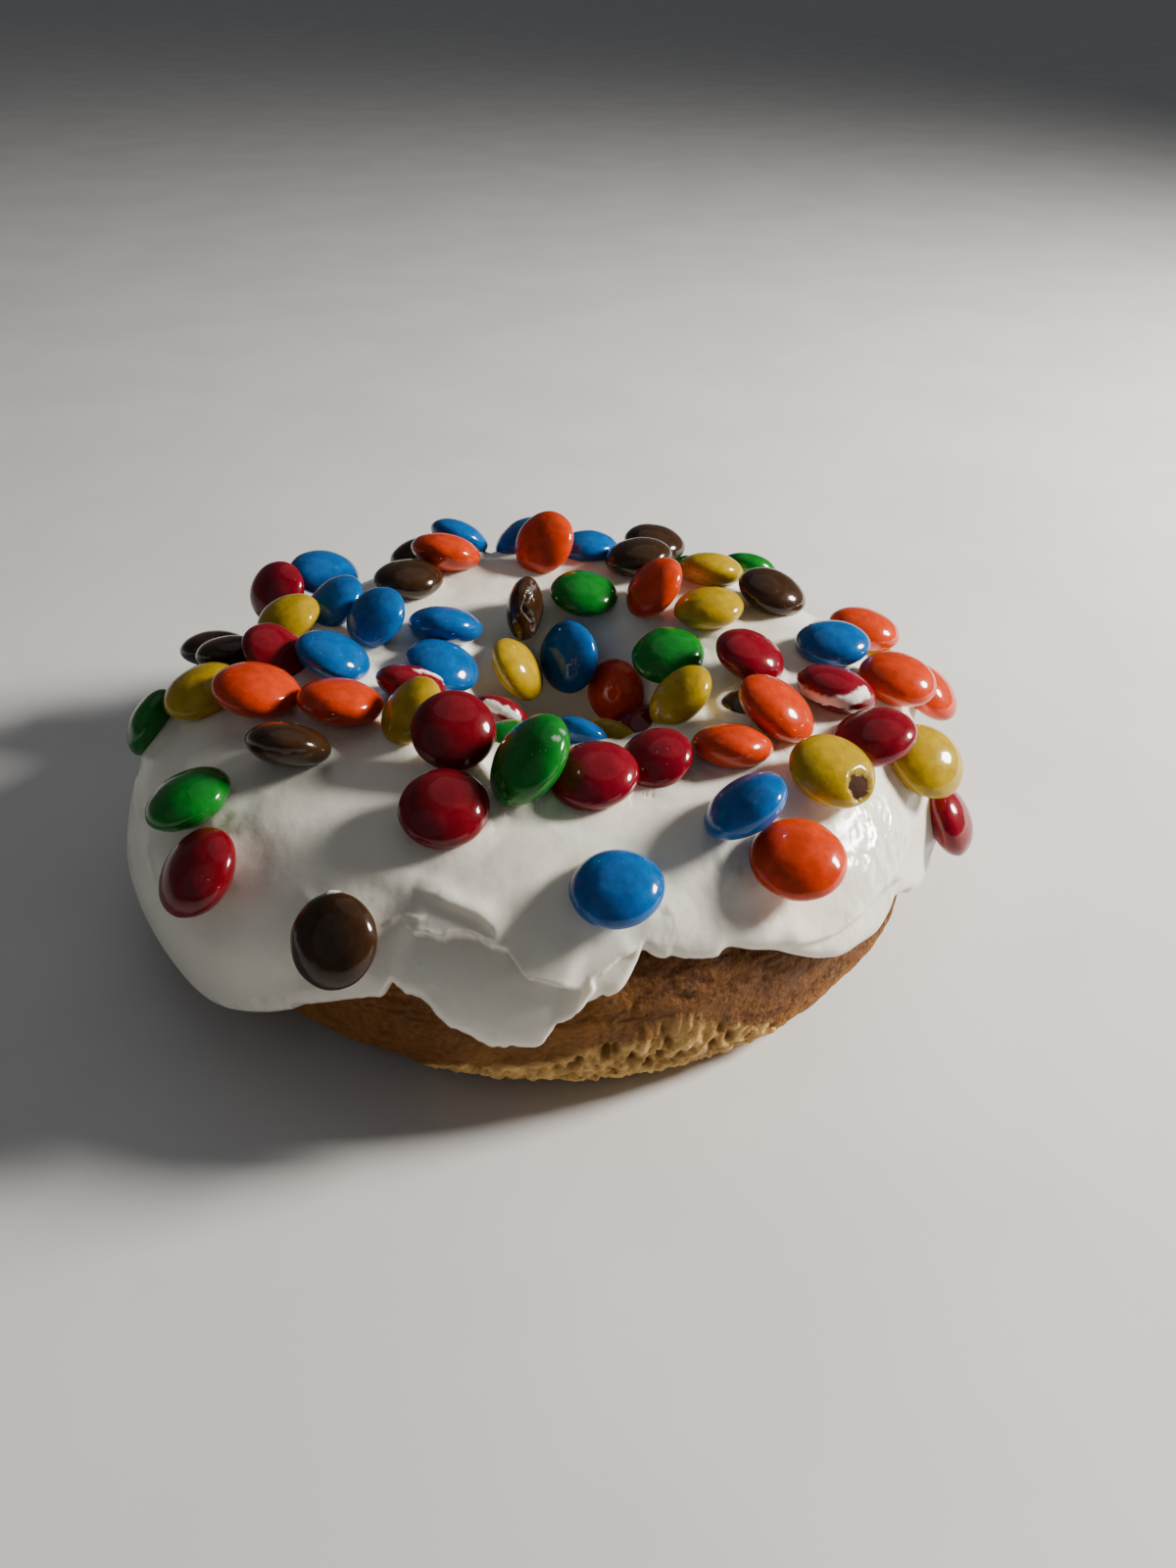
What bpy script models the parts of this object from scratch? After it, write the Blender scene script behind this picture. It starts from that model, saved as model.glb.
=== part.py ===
# Ring doughnut with white icing and sugar-coated chocolate lentils.
#
# A raised, fried ring of dough stands on its flat base.  White icing covers the
# top, runs down into the hole and down the outside in lobes and one long drip,
# and the chocolate lentils sit in it.  Metres, +Z up, origin on the table under
# the middle of the whole.
import math

import bmesh
import bpy
import numpy as np
from mathutils import Matrix, Vector

MM = 0.001

# ---------------------------------------------------------------- dimensions
RIDGE_Z = 26.4 * MM          # top of the icing over the table
WAIST_Z = 12.0 * MM          # height where the ring is widest
MID_X, MID_Y = -3.2 * MM, -1.3 * MM      # middle of the icing's outline
HOLE_X, HOLE_Y = 0.8 * MM, 3.7 * MM      # middle of the hole
BASE_X, BASE_Y = 2.0 * MM, 2.6 * MM      # middle of the flat base
BASE_R = 42.8 * MM           # outside of the flat base
BASE_HOLE_R = 15.0 * MM      # inside of the flat base
BASE_FLAT = 0.4 * MM         # how much of the round underside is pressed flat

ROUND_OUT = 2.25             # squareness of the section, outer shoulder
ROUND_IN = 3.0               # the same towards the hole
ROUND_LOW = 4.8              # the same under the waist
LEAN_LOW = 2.5               # how soon the wall leans in under the waist

ICING_SIDE = 1.2 * MM        # icing thickness on the sides
ICING_TOP = 2.2 * MM         # and over the top
GAP = 0.3 * MM               # clearance kept between pieces
FACET = 0.15 * MM            # taken off the dough for the flats of its facets

LENTIL_D = 9.3 * MM          # chocolate lentil, across
LENTIL_T = 4.9 * MM          # and through
LENTIL_SINK = 0.7 * MM       # how deep a lentil sits in the icing

# outer radius of the icing at the waist, every 30 degrees from +X, in mm
OUTLINE = (48.5, 48.3, 46.2, 46.2, 46.6, 45.4, 47.6, 47.6, 43.5, 43.6, 44.2, 46.2)
# radius of the iced hole at its narrowest, every 90 degrees, in mm
HOLE = (10.6, 10.4, 10.6, 10.2)
# lower edge of the icing outside: angle and height over the table in mm
EDGE_OUT = ((0, 10.5), (12, 12.5), (26, 10.0), (42, 13.0), (60, 11.0), (78, 14.0),
            (96, 11.0), (114, 13.0), (132, 9.5), (150, 12.0), (168, 8.5), (186, 7.5),
            (200, 6.0), (212, 7.5), (222, 5.5), (232, 6.5), (240, 10.5), (247, 15.0),
            (255, 17.8), (262, 13.8), (269, 10.5), (274, 12.5), (280, 17.0), (287, 20.4),
            (293, 19.4), (301, 18.8), (306, 17.0), (312, 14.6), (320, 13.0), (331, 14.8),
            (340, 11.5), (349, 9.0))
# how far the icing bulges past the outline low down: angle and mm
LOBES = ((0, 0.5), (12, 0.1), (26, 0.8), (42, 0.1), (60, 0.8), (78, 0.1), (96, 0.8),
         (114, 0.1), (132, 0.9), (150, 0.2), (168, 0.8), (186, 0.4), (200, 0.9),
         (212, 0.3), (226, 1.8), (240, 0.8), (254, 0.0), (269, 0.7), (284, 0.0),
         (300, 0.0), (320, 0.4), (331, 0.0), (346, 1.0))
# and inside the hole
EDGE_IN = ((0, 9.5), (40, 7.0), (85, 10.0), (130, 7.5), (180, 9.0), (225, 7.0),
           (275, 9.5), (320, 7.5))

RING_STEPS = 56              # sections round the ring
SKIN_STEPS = 12              # points along the icing's outer skin
UNDER_STEPS = 16             # and along its underside
DOUGH_STEPS = 16             # points round the section of the dough


# ------------------------------------------------------------ smooth profiles
def smooth(table, deg):
    """Smooth closed curve through (angle, value) pairs."""
    n = len(table)
    deg = deg % 360.0
    k = n - 1
    for i in range(n):
        if table[i][0] <= deg:
            k = i
    if deg < table[0][0]:
        k = n - 1

    def at(i):
        turn, j = divmod(i, n)
        return table[j][0] + 360.0 * turn, table[j][1]

    if deg < table[0][0]:
        deg += 360.0
    a0, a1, a2, a3 = at(k - 1), at(k), at(k + 1), at(k + 2)
    h = a2[0] - a1[0]
    s = (deg - a1[0]) / h
    m1 = (a2[1] - a0[1]) / (a2[0] - a0[0]) * h
    m2 = (a3[1] - a1[1]) / (a3[0] - a1[0]) * h
    return ((2 * s ** 3 - 3 * s ** 2 + 1) * a1[1] + (s ** 3 - 2 * s ** 2 + s) * m1
            + (-2 * s ** 3 + 3 * s ** 2) * a2[1] + (s ** 3 - s ** 2) * m2)


def ring_table(values):
    return [(i * 360.0 / len(values), v * MM) for i, v in enumerate(values)]


OUT_TABLE = ring_table(OUTLINE)
HOLE_TABLE = ring_table(HOLE)
EDGE_OUT_TABLE = [(a, v * MM) for a, v in EDGE_OUT]
EDGE_IN_TABLE = [(a, v * MM) for a, v in EDGE_IN]
LOBE_TABLE = [(a, v * MM) for a, v in LOBES]


def power(x, p):
    return math.copysign(abs(x) ** p, x)


def radius_from(cx, cy, r, deg):
    """Distance to a circle round (cx, cy), in one direction."""
    c, s = math.cos(math.radians(deg)), math.sin(math.radians(deg))
    along, beside = cx * c + cy * s, cx * s - cy * c
    return along + math.sqrt(r * r - beside * beside)


def skin(deg, across, side=0.0, top=0.0, lobes=0.0):
    """Point of the doughnut's surface.

    deg turns round the ring.  across turns round the section: 0 is the widest
    place outside, 90 the ridge, 180 the hole, 270 the base.  side and top are
    taken off the iced size, and lobes adds the bulges of the icing low down.
    """
    t, a = math.radians(deg), math.radians(across)
    c, s = math.cos(a), math.sin(a)
    if s >= 0.0:
        n = ROUND_OUT if c > 0.0 else ROUND_IN
        z = WAIST_Z + (RIDGE_Z - top - WAIST_Z) * power(s, 2.0 / n)
        w = 0.5 + 0.5 * power(c, 2.0 / n)
        ro = smooth(OUT_TABLE, deg) - side
        ri = smooth(HOLE_TABLE, deg) + side
    else:
        # under the waist both walls lean in towards the flat base
        z = WAIST_Z * (1.0 + power(s, 2.0 / ROUND_LOW))
        z = max(0.0, z - BASE_FLAT) * WAIST_Z / (WAIST_Z - BASE_FLAT)
        w = 0.5 + 0.5 * power(c, 2.0 / ROUND_LOW)
        lean = (1.0 - z / WAIST_Z) ** LEAN_LOW
        ro = smooth(OUT_TABLE, deg) - side
        ri = smooth(HOLE_TABLE, deg) + side
        more = ICING_SIDE + GAP - side
        ro += (radius_from(BASE_X - MID_X, BASE_Y - MID_Y, BASE_R, deg) + more - ro) * lean
        ri += (BASE_HOLE_R - more - ri) * lean
    if lobes:
        low = min(1.0, max(0.0, (30.0 - across) / 45.0)) if across < 90.0 else 0.0
        ro += lobes * smooth(LOBE_TABLE, deg) * low * low * (3.0 - 2.0 * low)
    x = (HOLE_X + ri * math.cos(t)) * (1.0 - w) + (MID_X + ro * math.cos(t)) * w
    y = (HOLE_Y + ri * math.sin(t)) * (1.0 - w) + (MID_Y + ro * math.sin(t)) * w
    return Vector((x, y, z))


def skin_frame(deg, across, lobes=1.0):
    """Unit vectors at a place on the icing: outward, round the ring, uphill."""
    du = skin(deg + 0.5, across, lobes=lobes) - skin(deg - 0.5, across, lobes=lobes)
    dv = skin(deg, across + 0.5, lobes=lobes) - skin(deg, across - 0.5, lobes=lobes)
    normal = du.cross(dv).normalized()
    du = du.normalized()
    return normal, du, normal.cross(du).normalized()


def across_at(height, deg, inside):
    """Where round the section the skin is at this height."""
    lo, hi = (90.0, 265.0) if inside else (-85.0, 90.0)
    for _ in range(40):
        mid = 0.5 * (lo + hi)
        high = skin(deg, mid).z > height
        if inside:
            lo, hi = (mid, hi) if high else (lo, mid)
        else:
            lo, hi = (lo, mid) if high else (mid, hi)
    return 0.5 * (lo + hi)


# ------------------------------------------------------------------ lentils
# colour, angle round the ring, place across the section, how far the lentil
# leans from lying flat, which way it leans, its size against LENTIL_D, and how
# many mm higher than usual it sits (on its neighbours) or deeper, if below zero
LENTILS = (
    ("blue", 109.25, 58.75, 29, 170, 0.94, 0.7),
    ("orange", 117.75, 82, 23, -154, 1.04, 0.1), ("brown", 133.5, 90, 8, -143, 0.99, 0),
    ("blue", 96.75, 63.25, 36, 22, 0.92, -0.4), ("orange", 93.25, 87.75, 47, 45, 0.99, 0.1),
    ("blue", 81.75, 73.75, 4, 59, 0.90, -0.2), ("brown", 67.5, 86.25, 11, -24, 1.01, 0.1),
    ("yellow", 49.5, 79, 15, -60, 0.94, 0), ("orange", 54, 105.25, 38, 39, 0.96, 0),
    ("yellow", 33.25, 101, 9, -27, 0.98, 0), ("brown", 32.75, 77.5, 12, -159, 1.02, 0),
    ("green", 81, 116, 20, -111, 0.97, 0), ("brown", 111, 126.75, 73, 150, 0.90, -0.6),
    ("maroon", 143.25, 35.25, 69, 31, 0.95, 0.9), ("blue", 133, 35.5, 60, 98, 1.05, 0.4),
    ("yellow", 163.25, 76, 14, -12, 0.88, 0.7), ("blue", 152.5, 81.5, 31, -29, 0.94, -0.7),
    ("blue", 161.25, 97.5, 40, -22, 0.88, 0.3), ("red", 178.75, 82.25, 38, 79, 0.88, -0.1),
    ("brown", 173.5, 63.5, 25, 164, 0.88, -0.3), ("blue", 182.75, 94, 24, 108, 0.98, 0.1),
    ("blue", 151.25, 118.25, 38, -136, 1.00, -0.7), ("blue", 180.5, 129, 7, -89, 0.97, 0.3),
    ("yellow", 135.75, 154.25, 37, -150, 0.95, 0.6),
    ("blue", 89.5, 152.75, 42, -4, 1.01, 0), ("orange", 48.75, 166.25, 9, -85, 0.93, 0),
    ("green", 15.5, 133.5, 31, -111, 0.97, 0), ("yellow", 329.75, 121.5, 26, 152, 0.92, 0),
    ("maroon", 204.25, 113.75, 25, 148, 0.88, 0.7),
    ("yellow", 224.25, 102.5, 47, -116, 0.88, 0.7),
    ("red", 244.25, 96.75, 34, -57, 0.97, 2), ("green", 266.5, 92, 47, -165, 1.12, 0.7),
    ("maroon", 281.5, 92.25, 11, -143, 0.99, 0.2),
    ("maroon", 298.75, 95.75, 20, -168, 0.88, -0.4),
    ("orange", 317.75, 91, 24, 39, 0.94, -0.6),
    ("orange", 333.75, 90.25, 32, -58, 1.05, 0.1), ("maroon", 359.5, 101, 25, -95, 0.95, 0),
    ("blue", 9.25, 76, 13, 71, 0.97, -0.1), ("orange", 21.75, 44.5, 26, 82, 1.02, 0.1),
    ("orange", 1.75, 53.5, 24, 97, 1.01, 0.1), ("orange", 13.25, 17, 39, 110, 0.99, 1.6),
    ("maroon", 351.25, 78.75, 20, -11, 1.01, -0.6),
    ("maroon", 340.25, 61.5, 39, 98, 1.01, -0.5),
    ("yellow", 326.25, 65.25, 3, 161, 1.01, 0.7),
    ("yellow", 345.75, 38.75, 24, 128, 0.99, 0), ("maroon", 347.5, 7.5, 17, 76, 0.93, 0),
    ("blue", 306.5, 68.75, 49, 118, 0.99, 0), ("orange", 310.5, 47.75, 27, 112, 1.01, 0),
    ("blue", 283, 54.75, 21, 110, 0.97, 0), ("red", 252.5, 80, 14, -64, 0.98, 0),
    ("brown", 245.75, 30.75, 4, 121, 0.99, 0), ("red", 223, 34.75, 16, 145, 1.02, 0.1),
    ("green", 213, 50.75, 21, 135, 1.01, -0.1), ("brown", 216.25, 80.25, 40, 118, 0.97, 0),
    ("orange", 206.75, 94, 20, 129, 1.03, 0.2), ("orange", 195.5, 80.5, 19, 97, 1.05, 0.7),
    ("yellow", 186, 61.75, 4, 64, 1.02, -0.2), ("green", 183, 34.5, 17, -111, 0.92, -0.6),
)

SHELL = {"blue": (0.003, 0.125, 0.42), "green": (0.004, 0.20, 0.035),
         "yellow": (0.62, 0.42, 0.006), "orange": (0.78, 0.115, 0.006),
         "red": (0.30, 0.012, 0.030), "maroon": (0.21, 0.010, 0.026),
         "brown": (0.085, 0.042, 0.020)}


def lentil_place(deg, across, lean, lean_to, size, rise):
    """Centre and axes of a lentil that lies in the icing."""
    n, du, up = skin_frame(deg, across)
    lean, lean_to = math.radians(lean), math.radians(lean_to)
    axis = n * math.cos(lean) + (du * math.cos(lean_to) + up * math.sin(lean_to)) * math.sin(lean)
    half_d, half_t = 0.5 * LENTIL_D * size, 0.5 * LENTIL_T * size
    reach = math.hypot(half_d * math.sin(lean), half_t * math.cos(lean))
    centre = skin(deg, across, lobes=1.0) + n * (reach - LENTIL_SINK + rise * MM)
    return centre, axis.normalized(), half_d, half_t


# ------------------------------------------------------------------ making
def clear_scene():
    for ob in list(bpy.data.objects):
        bpy.data.objects.remove(ob, do_unlink=True)


def material(name, rgb, rough, coat=0.0, sheen=0.0, scatter=0.0):
    m = bpy.data.materials.new(name)
    m.use_nodes = True
    b = m.node_tree.nodes["Principled BSDF"]
    b.inputs["Base Color"].default_value = (*rgb, 1.0)
    b.inputs["Roughness"].default_value = rough
    b.inputs["Metallic"].default_value = 0.0
    b.inputs["Coat Weight"].default_value = coat
    b.inputs["Subsurface Weight"].default_value = scatter
    b.inputs["Subsurface Scale"].default_value = 0.002
    m.diffuse_color = (*rgb, 1.0)
    return m


def link(mesh, name, mat):
    ob = bpy.data.objects.new(name, mesh)
    bpy.context.scene.collection.objects.link(ob)
    mesh.materials.append(mat)
    mesh.shade_smooth()
    return ob


def tube(name, mat, sections):
    """Closed ring through equal sections, each a closed loop of points."""
    bm = bmesh.new()
    loops = [[bm.verts.new(p) for p in sec] for sec in sections]
    count, n = len(loops), len(loops[0])
    for i in range(count):
        a, b = loops[i], loops[(i + 1) % count]
        for j in range(n):
            k = (j + 1) % n
            bm.faces.new((a[j], b[j], b[k], a[k]))
    bmesh.ops.triangulate(bm, faces=bm.faces[:])
    bmesh.ops.recalc_face_normals(bm, faces=bm.faces[:])
    if bm.calc_volume(signed=True) < 0.0:
        bmesh.ops.reverse_faces(bm, faces=bm.faces[:])
    mesh = bpy.data.meshes.new(name)
    bm.to_mesh(mesh)
    bm.free()
    return link(mesh, name, mat)


def lentil_mesh(name, half_d, half_t, segments=8, rings=4):
    bm = bmesh.new()
    bmesh.ops.create_uvsphere(bm, u_segments=segments, v_segments=rings, radius=1.0)
    bmesh.ops.scale(bm, vec=(half_d, half_d, half_t), verts=bm.verts[:])
    bmesh.ops.triangulate(bm, faces=bm.faces[:])
    mesh = bpy.data.meshes.new(name)
    bm.to_mesh(mesh)
    bm.free()
    return mesh


def set_down(ob, centre, axis):
    turn = Vector((0.0, 0.0, 1.0)).rotation_difference(axis).to_matrix().to_4x4()
    ob.matrix_world = Matrix.Translation(centre) @ turn


def main():
    clear_scene()

    crust = material("dough_crust", (0.42, 0.19, 0.065), 0.62, scatter=0.1)
    white = material("white_icing", (0.86, 0.85, 0.82), 0.32, coat=0.15, scatter=0.3)
    shells = {k: material("shell_" + k, v, 0.22, coat=0.4) for k, v in SHELL.items()}

    degs = [i * 360.0 / RING_STEPS for i in range(RING_STEPS)]
    under = {"side": ICING_SIDE, "top": ICING_TOP}
    inner = {"side": ICING_SIDE + GAP + FACET, "top": ICING_TOP + GAP + FACET}

    # dough: whole section all the way round
    rounds = [i * 360.0 / DOUGH_STEPS for i in range(DOUGH_STEPS)]
    tube("dough", crust, [[skin(d, a, **inner) for a in rounds] for d in degs])

    # icing: outer skin over the top, then back along the dough
    sections = []
    for d in degs:
        low_out = across_at(smooth(EDGE_OUT_TABLE, d), d, False)
        low_in = across_at(smooth(EDGE_IN_TABLE, d), d, True)
        steps = [low_out + (low_in - low_out) * i / (SKIN_STEPS - 1.0)
                 for i in range(SKIN_STEPS)]
        outer = [skin(d, a, lobes=1.0) for a in steps]
        span = low_in - low_out
        back = [skin(d, low_in - span * i / (UNDER_STEPS - 1.0), **under)
                for i in range(UNDER_STEPS)]
        sections.append(outer + back)
    icing = tube("icing", white, sections)

    # lentils, and the hollows they have pressed into the icing
    counts = {}
    for colour, deg, across, lean, lean_to, size, rise in LENTILS:
        counts[colour] = counts.get(colour, 0) + 1
        name = "lentil_%s_%02d" % (colour, counts[colour])
        centre, axis, half_d, half_t = lentil_place(deg, across, lean, lean_to, size, rise)
        ob = link(lentil_mesh(name, half_d, half_t), name, shells[colour])
        set_down(ob, centre, axis)

        tool = link(lentil_mesh("hollow_" + name, half_d + GAP, half_t + GAP),
                    "hollow_" + name, white)
        set_down(tool, centre, axis)
        tool.hide_render = True
        tool.display_type = 'WIRE'
        cut = icing.modifiers.new("hollow_" + name, 'BOOLEAN')
        cut.operation = 'DIFFERENCE'
        cut.solver = 'EXACT'
        cut.object = tool


main()
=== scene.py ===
# Looks of the iced ring doughnut: crust, icing and sugar shells as fine meshes
# with procedural materials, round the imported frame.
import math

import bmesh
import bpy
import numpy as np
from mathutils import Matrix, Vector


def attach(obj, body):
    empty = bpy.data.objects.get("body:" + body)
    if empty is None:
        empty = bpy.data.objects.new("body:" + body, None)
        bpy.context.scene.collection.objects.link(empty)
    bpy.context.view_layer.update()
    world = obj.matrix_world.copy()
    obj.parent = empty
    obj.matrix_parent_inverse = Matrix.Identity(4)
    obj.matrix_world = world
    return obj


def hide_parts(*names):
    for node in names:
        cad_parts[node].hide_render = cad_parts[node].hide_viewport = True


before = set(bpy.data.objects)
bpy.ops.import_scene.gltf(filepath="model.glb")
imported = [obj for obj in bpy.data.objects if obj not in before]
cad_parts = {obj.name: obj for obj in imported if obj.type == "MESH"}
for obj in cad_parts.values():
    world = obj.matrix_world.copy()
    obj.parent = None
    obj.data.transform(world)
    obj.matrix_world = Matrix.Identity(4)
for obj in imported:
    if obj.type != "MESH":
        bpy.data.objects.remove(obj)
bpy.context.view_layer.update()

MM = 0.001

# ------------------------------------------------------------------ sizes, mm
# the same named sizes that the solids are built from
RIDGE_Z, WAIST_Z = 26.4, 12.0
MID = np.array((-3.2, -1.3))
HOLE_C = np.array((0.8, 3.7))
BASE_C = np.array((2.0, 2.6))
BASE_R, BASE_HOLE_R, BASE_FLAT = 42.8, 15.0, 0.4
ROUND_OUT, ROUND_IN, ROUND_LOW, LEAN_LOW = 2.25, 3.0, 4.8, 2.5
ICING_SIDE, ICING_TOP, GAP = 1.2, 2.2, 0.3
LENTIL_D, LENTIL_T, LENTIL_SINK = 9.3, 4.9, 0.7
OUTLINE = (48.5, 48.3, 46.2, 46.2, 46.6, 45.4, 47.6, 47.6, 43.5, 43.6, 44.2, 46.2)
HOLE = (10.6, 10.4, 10.6, 10.2)
# lower edge of the icing, with its notches, scallops and the long drip
EDGE_OUT = ((0, 10.5), (12, 12.5), (26, 10.0), (42, 13.0), (60, 11.0), (78, 14.0),
            (96, 11.0), (114, 13.0), (132, 9.5), (150, 12.0), (168, 8.5), (186, 7.5),
            (200, 6.0), (212, 7.0), (222, 5.9), (228.5, 6.8), (235.4, 8.9), (241.9, 12.0),
            (247.3, 14.2), (250.8, 15.5), (252.4, 15.9), (253.4, 17.3), (254.3, 17.0),
            (257.7, 16.1), (259.7, 14.9), (262.3, 13.6), (265.1, 12.7), (269.2, 12.0),
            (271.6, 12.3), (273.3, 12.6), (274.4, 13.6), (275.2, 14.4), (276.9, 14.9),
            (278.2, 16.0), (281.0, 17.0), (282.9, 17.6), (284.4, 18.5), (285.5, 19.5),
            (286.5, 20.6), (289.0, 20.1), (290.9, 19.7), (292.4, 19.3), (294.0, 19.0),
            (296.8, 18.9), (297.6, 19.3), (300.1, 18.8), (303.9, 17.8), (306.0, 17.1),
            (309.1, 15.5), (312.6, 13.8), (316.5, 12.4), (320.2, 12.0), (323.8, 11.5),
            (327.0, 12.4), (329.5, 13.4), (333.0, 12.3), (337.0, 9.8), (342.1, 8.5),
            (350.0, 9.0))
CRUMB_EDGE = ((0, 0.0), (60, 0.0), (120, 0.0), (180, 0.0), (230, 0.0), (246, 0.0), (252, 2.6),
              (258, 5.2), (265, 6.9), (272, 8.2), (277, 8.9), (282, 9.4), (287, 10.3),
              (292, 10.1), (299, 8.6), (305, 6.6), (309, 4.0), (313, 1.5), (317, 0.0),
              (328, 0.0), (340, 0.0))
EDGE_IN = ((0, 9.5), (40, 7.0), (85, 10.0), (130, 7.5), (180, 9.0), (225, 7.0),
           (275, 9.5), (320, 7.5))
LOBES = ((0, 0.5), (12, 0.1), (26, 0.8), (42, 0.1), (60, 0.8), (78, 0.1), (96, 0.8),
         (114, 0.1), (132, 0.9), (150, 0.2), (168, 0.8), (186, 0.4), (200, 0.9),
         (212, 0.3), (226, 1.8), (240, 0.8), (254, 0.0), (269, 0.7), (284, 0.0),
         (300, 0.0), (320, 0.4), (331, 0.0), (346, 1.0))

# colour, angle round the ring, place across the section, lean, lean direction, size
LENTILS = (
    ("blue", 109.25, 58.75, 29, 170, 0.94, 0.7),
    ("orange", 117.75, 82, 23, -154, 1.04, 0.1), ("brown", 133.5, 90, 8, -143, 0.99, 0),
    ("blue", 96.75, 63.25, 36, 22, 0.92, -0.4), ("orange", 93.25, 87.75, 47, 45, 0.99, 0.1),
    ("blue", 81.75, 73.75, 4, 59, 0.90, -0.2), ("brown", 67.5, 86.25, 11, -24, 1.01, 0.1),
    ("yellow", 49.5, 79, 15, -60, 0.94, 0), ("orange", 54, 105.25, 38, 39, 0.96, 0),
    ("yellow", 33.25, 101, 9, -27, 0.98, 0), ("brown", 32.75, 77.5, 12, -159, 1.02, 0),
    ("green", 81, 116, 20, -111, 0.97, 0), ("brown", 111, 126.75, 73, 150, 0.90, -0.6),
    ("maroon", 143.25, 35.25, 69, 31, 0.95, 0.9), ("blue", 133, 35.5, 60, 98, 1.05, 0.4),
    ("yellow", 163.25, 76, 14, -12, 0.88, 0.7), ("blue", 152.5, 81.5, 31, -29, 0.94, -0.7),
    ("blue", 161.25, 97.5, 40, -22, 0.88, 0.3), ("red", 178.75, 82.25, 38, 79, 0.88, -0.1),
    ("brown", 173.5, 63.5, 25, 164, 0.88, -0.3), ("blue", 182.75, 94, 24, 108, 0.98, 0.1),
    ("blue", 151.25, 118.25, 38, -136, 1.00, -0.7), ("blue", 180.5, 129, 7, -89, 0.97, 0.3),
    ("yellow", 135.75, 154.25, 37, -150, 0.95, 0.6),
    ("blue", 89.5, 152.75, 42, -4, 1.01, 0), ("orange", 48.75, 166.25, 9, -85, 0.93, 0),
    ("green", 15.5, 133.5, 31, -111, 0.97, 0), ("yellow", 329.75, 121.5, 26, 152, 0.92, 0),
    ("maroon", 204.25, 113.75, 25, 148, 0.88, 0.7),
    ("yellow", 224.25, 102.5, 47, -116, 0.88, 0.7),
    ("red", 244.25, 96.75, 34, -57, 0.97, 2), ("green", 266.5, 92, 47, -165, 1.12, 0.7),
    ("maroon", 281.5, 92.25, 11, -143, 0.99, 0.2),
    ("maroon", 298.75, 95.75, 20, -168, 0.88, -0.4),
    ("orange", 317.75, 91, 24, 39, 0.94, -0.6),
    ("orange", 333.75, 90.25, 32, -58, 1.05, 0.1), ("maroon", 359.5, 101, 25, -95, 0.95, 0),
    ("blue", 9.25, 76, 13, 71, 0.97, -0.1), ("orange", 21.75, 44.5, 26, 82, 1.02, 0.1),
    ("orange", 1.75, 53.5, 24, 97, 1.01, 0.1), ("orange", 13.25, 17, 39, 110, 0.99, 1.6),
    ("maroon", 351.25, 78.75, 20, -11, 1.01, -0.6),
    ("maroon", 340.25, 61.5, 39, 98, 1.01, -0.5),
    ("yellow", 326.25, 65.25, 3, 161, 1.01, 0.7),
    ("yellow", 345.75, 38.75, 24, 128, 0.99, 0), ("maroon", 347.5, 7.5, 17, 76, 0.93, 0),
    ("blue", 306.5, 68.75, 49, 118, 0.99, 0), ("orange", 310.5, 47.75, 27, 112, 1.01, 0),
    ("blue", 283, 54.75, 21, 110, 0.97, 0), ("red", 252.5, 80, 14, -64, 0.98, 0),
    ("brown", 245.75, 30.75, 4, 121, 0.99, 0), ("red", 223, 34.75, 16, 145, 1.02, 0.1),
    ("green", 213, 50.75, 21, 135, 1.01, -0.1), ("brown", 216.25, 80.25, 40, 118, 0.97, 0),
    ("orange", 206.75, 94, 20, 129, 1.03, 0.2), ("orange", 195.5, 80.5, 19, 97, 1.05, 0.7),
    ("yellow", 186, 61.75, 4, 64, 1.02, -0.2), ("green", 183, 34.5, 17, -111, 0.92, -0.6),
)
# mostly hidden ones between and behind those, and the far slope
MORE_LENTILS = (
    ("brown", 115.25, 38.75, 20, 66, 0.92, 0.9), ("brown", 68.5, 51.25, 30, 104, 0.98, 0.7),
    ("green", 48.75, 47.75, 11, 7, 0.92, 0.8),
    ("brown", 164.25, 41.75, 31, 131, 0.92, -0.4),
    ("red", 354.5, 168.75, 65, -97, 0.88, -0.9), ("blue", 279.5, 148.25, 30, 14, 0.88, -1),
    ("yellow", 307, 162.25, 56, -18, 0.88, -0.8),
    ("green", 249.5, 131, 7, -102, 0.88, -1.3),
    ("maroon", 214, 154.25, 30, 175, 0.92, -0.1), ("brown", 342, 97.75, 5, -73, 0.88, -2.6),
    ("yellow", 24, 12, 17, 0, 1.00, 0), ("maroon", 47, 10, 17, 120, 1.00, 0),
    ("green", 62, 22, 17, -119, 0.98, 0), ("orange", 76, 6, 17, 1, 1.00, 0),
    ("brown", 89.75, 14.5, 18, 118, 1.00, 0), ("red", 104, 5.5, 15, -124, 0.97, 0),
    ("blue", 118, 11, 17, 5, 0.98, 0), ("orange", 131, 3, 17, 122, 1.00, 0),
    ("brown", 143.75, 9, 12, -128, 1.00, 0), ("green", 157, 2, 17, 3, 0.97, 0),

)

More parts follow.
